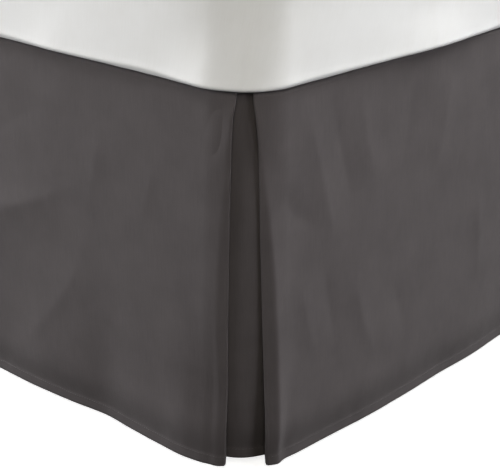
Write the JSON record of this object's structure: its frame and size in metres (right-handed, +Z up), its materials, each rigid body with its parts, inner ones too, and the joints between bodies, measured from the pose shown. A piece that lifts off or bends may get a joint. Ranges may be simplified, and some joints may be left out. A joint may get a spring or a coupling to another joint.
{
  "type": "bed skirt on a bed",
  "caption": "Tailored charcoal bed skirt with an inverted pleat at each foot corner, hung from a deck between a plain base on legs and a plain white mattress.",
  "frame": {"origin": "on the floor under the middle of the bed", "axes": "+Z up, +Y from the foot towards the head, +X towards the bed's right side seen from the foot"},
  "size_m": [1.5434, 2.0514, 0.6109],
  "materials": {
    "skirt_cloth": "matt brushed microfibre",
    "white_sheet": "matt plain-woven cotton",
    "base_cloth": "matt woven ticking",
    "leg_wood": "satin dark stain"
  },
  "bodies": {
    "root": {"deck": "skirt_cloth", "drop_foot": "skirt_cloth", "drop_side_right": "skirt_cloth", "drop_side_left": "skirt_cloth", "pleat_underlay_right": "skirt_cloth", "pleat_underlay_left": "skirt_cloth", "base": "base_cloth", "mattress": "white_sheet", "leg_foot_left": "leg_wood", "leg_foot_right": "leg_wood", "leg_middle_left": "leg_wood", "leg_middle_right": "leg_wood", "leg_head_left": "leg_wood", "leg_head_right": "leg_wood"}
  },
  "joints": []
}
